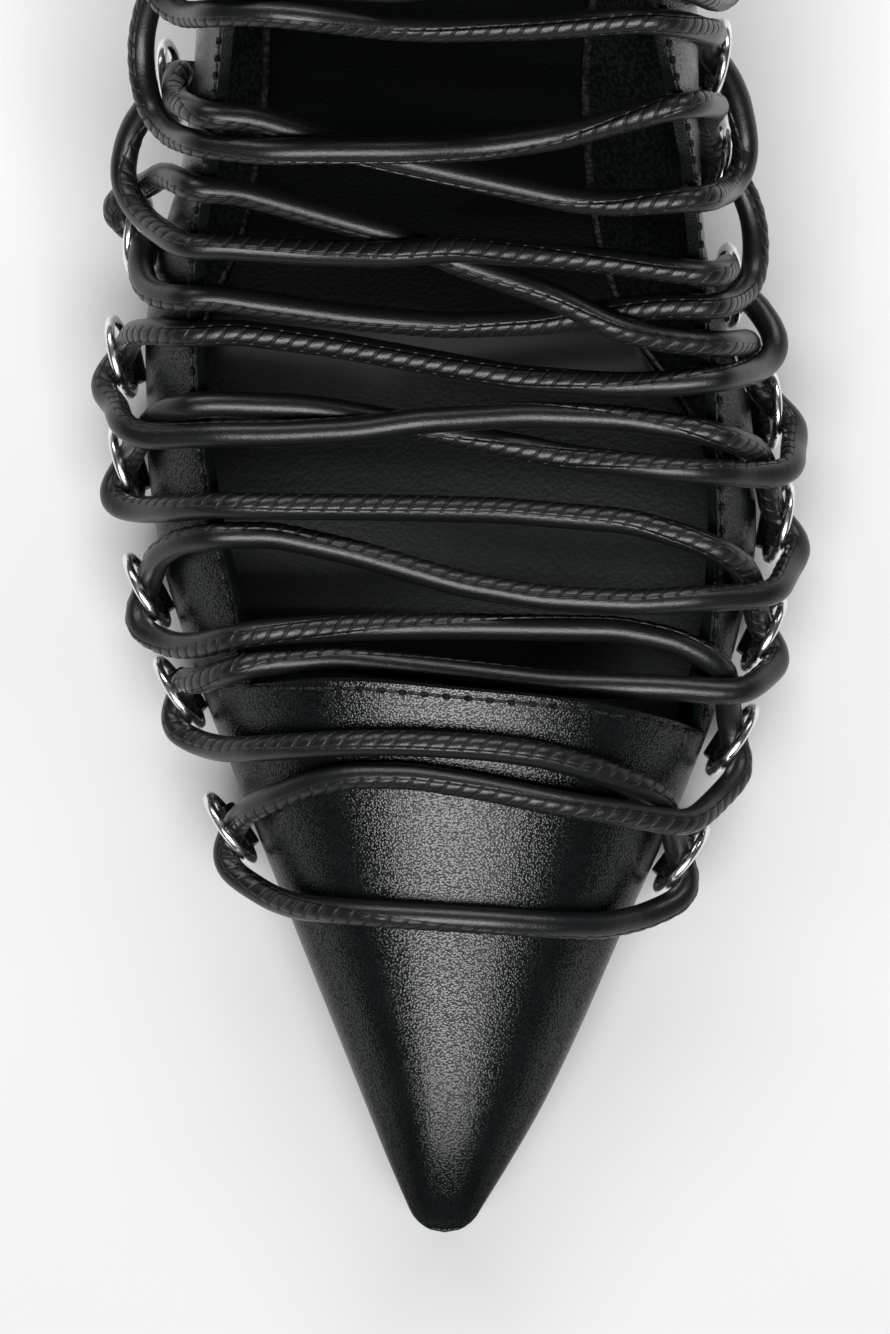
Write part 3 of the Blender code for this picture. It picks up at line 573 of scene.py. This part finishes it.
def softened(node, name, finish, edge, levels=1, angle=40.0):
    mesh = NODES[node].data.copy()
    piece = bpy.data.objects.new(name, mesh)
    bpy.context.scene.collection.objects.link(piece)
    deselect_all()
    piece.select_set(True)
    bpy.context.view_layer.objects.active = piece
    bpy.ops.mesh.customdata_custom_splitnormals_clear()
    bpy.ops.object.mode_set(mode="EDIT")
    bpy.ops.mesh.select_all(action="SELECT")
    bpy.ops.mesh.remove_doubles(threshold=MERGE_DISTANCE)
    bpy.ops.mesh.tris_convert_to_quads(face_threshold=math.radians(50), shape_threshold=math.radians(60))
    bpy.ops.mesh.mark_sharp(clear=True)
    bpy.ops.object.mode_set(mode="OBJECT")
    soften = piece.modifiers.new("Soft edges", "BEVEL")
    soften.limit_method = "ANGLE"
    soften.angle_limit = math.radians(angle)
    soften.width = edge
    soften.segments = EDGE_SEGMENTS
    bpy.ops.object.modifier_apply(modifier=soften.name)
    divide = piece.modifiers.new("Smooth", "SUBSURF")
    divide.levels = levels
    divide.render_levels = levels
    bpy.ops.object.modifier_apply(modifier=divide.name)
    bpy.ops.object.shade_smooth()
    settle(piece, name, finish, node)
    print(name, "faces", len(piece.data.polygons))
    return piece


for side in SIDES:
    for number in range(1, RING_COUNT + 1):
        tab_name = f"tab_{side}_{number}"
        softened(tab_name, f"leather_{tab_name}", tab_leather, 0.28 * MM)

softened("insole", "lined_insole", insole_leather, 0.5 * MM, levels=2)
leather_sole = softened("outsole", "leather_sole", sole_leather, 0.5 * MM, levels=2)
covered_heel = softened("heel", "covered_heel", heel_leather, 0.4 * MM, levels=2, angle=60.0)
softened("top_piece", "heel_pad", heel_rubber, 0.4 * MM, levels=2, angle=60.0)

# %% [markdown]
# The upper is one sheet of leather drawn over the last. Its shape is worked out as a maker
# draws it, from the outline, the bottom's height, the ridge and the topline. Sections round
# the shoe are joined into a fine skin, which no primitive could be pushed into this well.

# %% The last's tables
SHOE_LENGTH = 238.0
TREAD_STATION = 80.0
TOE_RADIUS = 5.2
TOE_ARC_STATION = 3.0
HEEL_ARC_STATION = 208.0
HEEL_ARC_POWER = 2.2
SECTION_POWER = 2.1
UPPER_ROWS = 28
LOWER_ROWS = 6
LATERAL = -1
MEDIAL = 1
SIDE_NAMES = {LATERAL: "lateral", MEDIAL: "medial"}

# Widest outline of the upper, how far the sole edge lies inside it, and how high it is widest
OUTLINE_COLUMNS = (
    "station", "lateral", "medial", "lateral_tuck", "medial_tuck", "lateral_bulge", "medial_bulge",
)
OUTLINE = (
    (3.0, 4.7, 4.7, 1.0, 1.0, 5.0, 5.0),
    (9.0, 7.3, 8.4, 1.2, 1.2, 5.4, 5.4),
    (17.0, 10.5, 13.0, 1.4, 1.5, 6.0, 6.0),
    (28.0, 14.9, 18.3, 1.6, 1.7, 6.5, 6.5),
    (40.0, 19.7, 23.5, 1.8, 1.9, 7.0, 7.0),
    (60.0, 27.6, 32.4, 2.0, 2.2, 8.0, 8.0),
    (78.0, 34.4, 38.8, 2.4, 2.6, 8.5, 8.5),
    (95.0, 39.0, 42.0, 2.8, 3.0, 9.0, 9.0),
    (108.0, 40.3, 41.6, 3.2, 4.0, 9.0, 10.0),
    (120.0, 40.4, 38.0, 4.5, 7.0, 11.0, 15.0),
    (130.0, 38.6, 34.8, 6.5, 10.5, 13.0, 20.0),
    (140.0, 35.2, 33.8, 7.5, 12.5, 15.0, 23.0),
    (152.0, 33.1, 33.3, 7.5, 13.0, 16.0, 24.0),
    (170.0, 32.0, 32.4, 6.5, 10.0, 17.0, 22.0),
    (190.0, 31.2, 31.6, 5.0, 6.0, 17.0, 19.0),
    (208.0, 30.4, 30.6, 4.5, 4.5, 17.0, 17.0),
    (238.0, 30.4, 30.6, 4.5, 4.5, 17.0, 17.0),
)

# Height of the lasting edge, the bottom of the upper: toe spring, flat tread, arch, heel seat
BOTTOM_COLUMNS = ("station", "height")
BOTTOM = (
    (0.0, 9.0),
    (15.0, 6.4),
    (30.0, 4.6),
    (48.0, 3.5),
    (62.0, 3.3),
    (108.0, 3.3),
    (118.0, 5.2),
    (130.0, 11.5),
    (145.0, 24.5),
    (160.0, 40.0),
    (175.0, 55.5),
    (190.0, 68.5),
    (205.0, 77.0),
    (220.0, 81.0),
    (238.0, 82.5),
)

# Height of the vamp's middle line above the lasting edge
RIDGE_COLUMNS = ("station", "height")
RIDGE = (
    (0.0, 4.0),
    (1.2, 6.2),
    (3.0, 8.2),
    (6.0, 10.6),
    (10.0, 13.2),
    (15.0, 15.9),
    (22.0, 18.9),
    (35.0, 23.0),
    (50.0, 27.5),
    (65.0, 33.0),
    (80.0, 39.0),
)

# Topline behind the throat: its lean in from the widest outline, and its height above the
# lasting edge
TOPLINE_COLUMNS = ("station", "lateral_lean", "medial_lean", "lateral_top", "medial_top")
TOPLINE = (
    (66.0, 6.0, 0.6, 24.5, 13.0),
    (72.0, 6.6, 2.2, 25.0, 16.5),
    (80.0, 7.6, 3.8, 25.5, 21.0),
    (90.0, 8.2, 5.4, 26.0, 25.5),
    (100.0, 8.0, 5.8, 27.0, 28.0),
    (112.0, 7.4, 5.2, 29.0, 31.0),
    (122.0, 7.0, 3.2, 32.0, 34.0),
    (130.0, 6.0, 1.4, 35.0, 37.0),
    (136.0, 5.0, 1.4, 37.5, 39.5),
    (142.0, 4.4, 2.4, 40.0, 41.5),
    (150.0, 4.2, 4.6, 42.0, 43.0),
    (158.0, 4.8, 6.0, 43.5, 44.0),
    (175.0, 5.5, 6.5, 46.0, 46.0),
    (200.0, 6.0, 6.5, 50.0, 50.0),
    (238.0, 7.5, 7.5, 56.0, 56.0),
)

# Throat edge across the vamp, from its lateral to its medial corner
THROAT_COLUMNS = ("across", "station")
THROAT = (
    (-26.0, 72.0),
    (-15.0, 71.6),
    (2.0, 70.1),
    (15.5, 69.1),
    (26.0, 68.1),
    (34.4, 67.0),
)

# %% The last's surface


def column(table, names, name):
    place = names.index(name)
    return [row[0] for row in table], [row[place] for row in table]


def slopes(xs, ys):
    """Slopes that keep a curve through the rows from overshooting them."""
    steps = [(ys[i + 1] - ys[i]) / (xs[i + 1] - xs[i]) for i in range(len(xs) - 1)]
    found = [steps[0]]
    for before, after in zip(steps, steps[1:]):
        if before * after <= 0:
            found.append(0.0)
        else:
            found.append(2 * before * after / (before + after))
    found.append(steps[-1])
    return found


def curve(table, names, name, x):
    """The value of a named column at x, on a smooth curve through its rows."""
    xs, ys = column(table, names, name)
    x = min(max(x, xs[0]), xs[-1])
    last = len(xs) - 2
    i = next((k for k in range(last) if x < xs[k + 1]), last)
    slope = slopes(xs, ys)
    width = xs[i + 1] - xs[i]
    t = (x - xs[i]) / width
    rise = ys[i] * (1 + 2 * t) * (1 - t) ** 2 + ys[i + 1] * t * t * (3 - 2 * t)
    turn = slope[i] * t * (1 - t) ** 2 - slope[i + 1] * t * t * (1 - t)
    return rise + turn * width


def outline(name, station):
    return curve(OUTLINE, OUTLINE_COLUMNS, name, station)


def topline(name, station):
    return curve(TOPLINE, TOPLINE_COLUMNS, name, station)


def edge_height(station):
    """Height of the lasting edge."""
    return curve(BOTTOM, BOTTOM_COLUMNS, "height", station)


def half_width(side, station):
    """Widest half width of the upper, with the round toe and the round back."""
    if station <= TOE_ARC_STATION:
        return math.sqrt(max(TOE_RADIUS ** 2 - (TOE_RADIUS - station) ** 2, 0.0))
    width = outline(SIDE_NAMES[side], station)
    if station > HEEL_ARC_STATION:
        part = (station - HEEL_ARC_STATION) / (SHOE_LENGTH - HEEL_ARC_STATION)
        width *= max(1 - part ** HEEL_ARC_POWER, 0.0) ** (1 / HEEL_ARC_POWER)
    return width


def inward(side, station):
    """The outline's direction towards the inside of the shoe, seen from above."""
    if station <= 0:
        return Vector((0.0, 1.0))
    if station >= SHOE_LENGTH:
        return Vector((0.0, -1.0))
    step = min(0.2, station / 2, (SHOE_LENGTH - station) / 2)
    wider = half_width(side, station + step) - half_width(side, station - step)
    return Vector((-side * 2 * step, wider)).normalized()


def widest_point(side, station):
    return Vector((side * half_width(side, station), station))


def bulge(side, station):
    return outline(SIDE_NAMES[side] + "_bulge", station)


def tuck(side, station):
    return outline(SIDE_NAMES[side] + "_tuck", station)


def sole_point(side, station, inset=0.0):
    """A point of the lasting edge seen from above, moved in by inset."""
    return widest_point(side, station) + inward(side, station) * (tuck(side, station) + inset)


def vamp_height(across, station):
    """Height of the vamp's outer surface over a point inside the outline."""
    side = MEDIAL if across > 0 else LATERAL
    low = bulge(side, station)
    ridge = max(curve(RIDGE, RIDGE_COLUMNS, "height", station), low)
    part = min(abs(across) / max(half_width(side, station), 0.001), 1.0)
    arch = (1 - part ** SECTION_POWER) ** (1 / SECTION_POWER)
    return edge_height(station) + low + (ridge - low) * arch


def lower_wall(side, station, part):
    """A point between the lasting edge, part 0, and the widest line, part 1."""
    low = sole_point(side, station)
    wide = widest_point(side, station)
    plan = low.lerp(wide, math.sin(part * math.pi / 2))
    height = edge_height(plan.y) + bulge(side, station) * part
    return Vector((plan.x, plan.y, height))


def vamp_line(side, station, corner):
    """The outer surface from the widest line up to the throat edge."""
    foot = widest_point(side, station)
    part = half_width(side, station) / half_width(side, corner)
    end = THROAT[0][0] if side == LATERAL else THROAT[-1][0]
    across = part * end
    throat = Vector((across, curve(THROAT, THROAT_COLUMNS, "station", across)))
    points = []
    for row in range(1, UPPER_ROWS + 1):
        plan = foot.lerp(throat, 1 - math.cos(row / UPPER_ROWS * math.pi / 2))
        points.append(Vector((plan.x, plan.y, vamp_height(plan.x, plan.y))))
    return points


def wall_line(side, station):
    """The outer surface from the widest line up to the topline."""
    name = SIDE_NAMES[side]
    lean = topline(name + "_lean", station)
    rise = topline(name + "_top", station) - bulge(side, station)
    full = outline(name, station)
    end = math.acos((1 - lean / full) ** (SECTION_POWER / 2))
    foot = widest_point(side, station)
    base = edge_height(station) + bulge(side, station)
    points = []
    for row in range(1, UPPER_ROWS + 1):
        angle = end * row / UPPER_ROWS
        inset = full * (1 - math.cos(angle) ** (2 / SECTION_POWER))
        lift = rise * (math.sin(angle) / math.sin(end)) ** (2 / SECTION_POWER)
        plan = foot + inward(side, station) * inset
        points.append(Vector((plan.x, plan.y, base + lift)))
    return points


# %% [markdown]
# The skin's sections stand close together, so its curves stay smooth. Solidify then gives
# the leather its thickness towards the inside, where the lining shows, and a Bevel rounds
# the folded edge all round the opening.

# %% The upper
WALL = 1.6
TOE_STATIONS = (0.35, 0.7, 1.4, 2.2, 3.2, 4.5, 6.0, 8.0, 10.5)
STATION_STEP = 2.4
HEEL_STATIONS = (229.0, 231.0, 233.0, 234.7, 236.0, 237.2)
LATERAL_CORNER = 72.0
MEDIAL_CORNER = 67.0
EDGE_ROUND = 0.7


def place(point):
    return Vector((point[0], point[1] - TREAD_STATION, point[2])) * MM


def skin_lines():
    """Lines up the leather, from the back of the heel round the lateral side and the toe."""
    corners = {LATERAL: LATERAL_CORNER, MEDIAL: MEDIAL_CORNER}
    lines = []
    for side in (LATERAL, MEDIAL):
        corner = corners[side]
        front = [0.0] if side == LATERAL else []
        front += [*TOE_STATIONS, *np.arange(13.0, corner - 1, STATION_STEP), corner]
        back = [*np.arange(corner + STATION_STEP, 228.0, STATION_STEP), *HEEL_STATIONS]
        if side == LATERAL:
            back.append(SHOE_LENGTH)
        made = []
        for station in [*front, *back]:
            low = [lower_wall(side, station, row / LOWER_ROWS) for row in range(LOWER_ROWS + 1)]
            rest = vamp_line(side, station, corner) if station <= corner else wall_line(side, station)
            made.append([place(point) for point in low + rest])
        lines += made[::-1] if side == LATERAL else made
    return lines


def make_upper(lines):
    rows = len(lines[0])
    points = [point for line in lines for point in line]
    faces = []
    for i in range(len(lines)):
        after = (i + 1) % len(lines)
        for row in range(rows - 1):
            low, high = i * rows + row, i * rows + row + 1
            faces.append((low, after * rows + row, after * rows + row + 1, high))
    upper = new_piece("leather_upper", points, faces, upper_leather, lining_leather, upper_leather)
    deselect_all()
    upper.select_set(True)
    bpy.context.view_layer.objects.active = upper
    wall = upper.modifiers.new("Wall", "SOLIDIFY")
    wall.thickness = WALL * MM
    wall.offset = -1
    wall.use_even_offset = True
    wall.material_offset = 1
    wall.material_offset_rim = 2
    bpy.ops.object.modifier_apply(modifier=wall.name)
    soften = upper.modifiers.new("Folded edge", "BEVEL")
    soften.limit_method = "ANGLE"
    soften.angle_limit = math.radians(50)
    soften.width = EDGE_ROUND * MM
    soften.segments = 4
    bpy.ops.object.modifier_apply(modifier=soften.name)
    bpy.ops.object.shade_smooth()
    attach(upper, "root")
    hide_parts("upper")
    print("upper faces", len(upper.data.polygons))
    return upper


upper_lines = skin_lines()
leather_upper = make_upper(upper_lines)

# %% [markdown]
# The heel's cover is drawn up under the upper's turned-in edge, so that no gap shows above
# it: its top's points go to the nearest spot on the upper, and those just below follow. The
# sole's back end is skived, cut thin on its underside, so it ends flush at the heel's front.

# %% Heel seat and skived sole
SEAT_REACH = 7.0 * MM
SEAT_SINK = 0.4 * MM
SEAT_BAND = 14.0 * MM
SKIVE_LENGTH = 9.0 * MM
SKIVE_DEPTH = 1.9 * MM
SKIVE_DIRECTION = Vector((0, -0.5, 0.86))
FACES_UP = 0.35
FACES_DOWN = -0.2


def seat_heel(heel, upper):
    upper_tree = BVHTree.FromObject(upper, bpy.context.evaluated_depsgraph_get())
    vertices = heel.data.vertices
    floor = max(vertex.co.z for vertex in vertices) - SEAT_BAND
    top = [vertex for vertex in vertices if vertex.normal.z > FACES_UP and vertex.co.z > floor]
    moves = []
    tree = KDTree(len(top))
    for i, vertex in enumerate(top):
        spot, out, _, _ = upper_tree.find_nearest(vertex.co)
        moves.append(spot - out * SEAT_SINK - vertex.co)
        tree.insert(vertex.co, i)
    tree.balance()
    for vertex in vertices:
        _, i, away = tree.find(vertex.co)
        part = max(1 - away / SEAT_REACH, 0.0)
        vertex.co += moves[i] * part * part * (3 - 2 * part)
    heel.data.update()
    print("heel seat drawn up by at most", round(max(move.length for move in moves) / MM, 1), "mm")


def skive_sole(sole):
    back = max(vertex.co.y for vertex in sole.data.vertices)
    for vertex in sole.data.vertices:
        part = (vertex.co.y - back) / SKIVE_LENGTH + 1
        if part > 0 and vertex.normal.z < FACES_DOWN:
            vertex.co += SKIVE_DIRECTION * SKIVE_DEPTH * part * part
    sole.data.update()


seat_heel(covered_heel, leather_upper)
skive_sole(leather_sole)

# %% [markdown]
# A row of stitches runs just below the folded edge, all round the opening and across the
# throat. One small rounded bead stands for each stitch, laid along the edge and sunk a
# little into the leather. Between it and the next sits a near-black bead, sunk deeper: painted
# shade for the needle hole. Both are few-sided, because there are hundreds of them.

# %% Stitches round the opening
STITCH_PITCH = 2.9
STITCH_LENGTH = 1.8
STITCH_THICK = 0.5
HOLE_LENGTH = 1.2
HOLE_THICK = 0.8
STITCH_INSET = 1.05
STITCH_SIDES = 6
BEAD_FLATTEN = 0.7
STITCH_RINGS = (-1.0, -0.8, -0.4, 0.4, 0.8, 1.0)


def below_edge(line, inset):
    """The point a given way down a line from its top, and the leather's direction there."""
    left = inset * MM
    for high, low in zip(line[::-1], line[-2::-1]):
        step = (high - low).length
        if step >= left:
            return high.lerp(low, left / step), (high - low).normalized()
        left -= step
    return line[0], Vector((0, 0, 1))


def stitch_spots():
    spots = [below_edge(line, STITCH_INSET) for line in upper_lines]
    spots.append(spots[0])
    steps = [(b[0] - a[0]).length for a, b in zip(spots, spots[1:])]
    run = np.concatenate(([0.0], np.cumsum(steps)))
    count = 2 * round(run[-1] / (STITCH_PITCH * MM))
    found = []
    for wanted in np.linspace(0.0, run[-1], count, endpoint=False):
        i = min(int(np.searchsorted(run, wanted, side="right")) - 1, len(spots) - 2)
        part = (wanted - run[i]) / max(run[i + 1] - run[i], 1e-9)
        along = (spots[i + 1][0] - spots[i][0]).normalized()
        up = spots[i][1].lerp(spots[i + 1][1], part)
        found.append((spots[i][0].lerp(spots[i + 1][0], part), along, up.cross(along).normalized()))
    return found


def make_beads(name, spots, length, thick, lift, finish):
    """One few-sided rounded bead at each spot, lying along the edge."""
    points, faces = [], []
    for middle, along, out in spots:
        across = along.cross(out)
        first = len(points)
        for part in STITCH_RINGS:
            radius = thick / 2 * math.sqrt(max(1 - part ** 4, 0.04)) * MM
            centre = middle + (along * part * length / 2 + out * lift) * MM
            for k in range(STITCH_SIDES):
                angle = 2 * math.pi * k / STITCH_SIDES
                way = out * math.cos(angle) * BEAD_FLATTEN + across * math.sin(angle)
                points.append(centre + way * radius)
        ring_faces = tube_faces(len(STITCH_RINGS), STITCH_SIDES)
        faces += [tuple(first + i for i in face) for face in ring_faces]
    piece = new_piece(name, points, faces, finish)
    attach(piece, "root")
    print(name, len(spots))


# Each needle hole is a near-black bead sunk into the leather: painted shade where the hole is dark.
painted_hole_shade = make_leather("painted_hole_shade", (0.0008, 0.0008, 0.0008), 0.9, 3000.0, 0.00008, 0.0)
spots = stitch_spots()
make_beads("edge_stitches", spots[0::2], STITCH_LENGTH, STITCH_THICK, -0.04, stitch_thread)
make_beads("painted_hole_shades", spots[1::2], HOLE_LENGTH, HOLE_THICK, -0.21, painted_hole_shade)

# %% [markdown]
# The floor is a plain pale sheet, much larger than the view. A broad soft light overhead,
# towards the toe, gives the wide bright band along the vamp's ridge. A strip behind the
# heel evens out the floor. The room round them is almost dark, so black stays black.

# %% Floor and light
FLOOR_SIZE = 3.0
FLOOR_NEAR = (0.445, 0.445, 0.45)
FLOOR_FAR = (0.565, 0.565, 0.572)


def make_floor():
    deselect_all()
    bpy.ops.mesh.primitive_plane_add(size=FLOOR_SIZE, location=(0.0, 0.0, 0.0))
    floor = bpy.context.object
    floor.name = "floor"
    finish = new_finish("pale_floor", (0.80, 0.80, 0.82), 0.6)
    vary_colour(finish, along_shoe(finish, -0.13, 0.11), FLOOR_NEAR, FLOOR_FAR, 0.0, 1.0)
    paper = textured(finish, "ShaderNodeTexNoise", 900.0, "Fac", Detail=2.0)
    bump(finish, paper, 0.00002, 0.2)
    floor.data.materials.append(finish)


def add_light(name, place_at, look_at, width, height, power):
    data = bpy.data.lights.new(name, "AREA")
    data.shape = "RECTANGLE"
    data.size = width
    data.size_y = height
    data.energy = power
    light = bpy.data.objects.new(name, data)
    bpy.context.scene.collection.objects.link(light)
    light.location = place_at
    aim = Vector(look_at) - Vector(place_at)
    light.rotation_euler = aim.to_track_quat("-Z", "Y").to_euler()


make_floor()
add_light("front_softbox", (0.0, -0.79, 1.32), (0.0, -0.04, 0.02), 1.40, 0.70, 41.0)
add_light("back_strip", (0.0, 1.25, 1.15), (0.0, 0.20, 0.0), 2.6, 0.40, 30.0)
world = bpy.data.worlds.new("soft_room")
world.use_nodes = True
world.node_tree.nodes["Background"].inputs["Color"].default_value = (0.92, 0.94, 1.0, 1.0)
world.node_tree.nodes["Background"].inputs["Strength"].default_value = 0.05
bpy.context.scene.world = world
bpy.context.scene.view_settings.view_transform = "Standard"
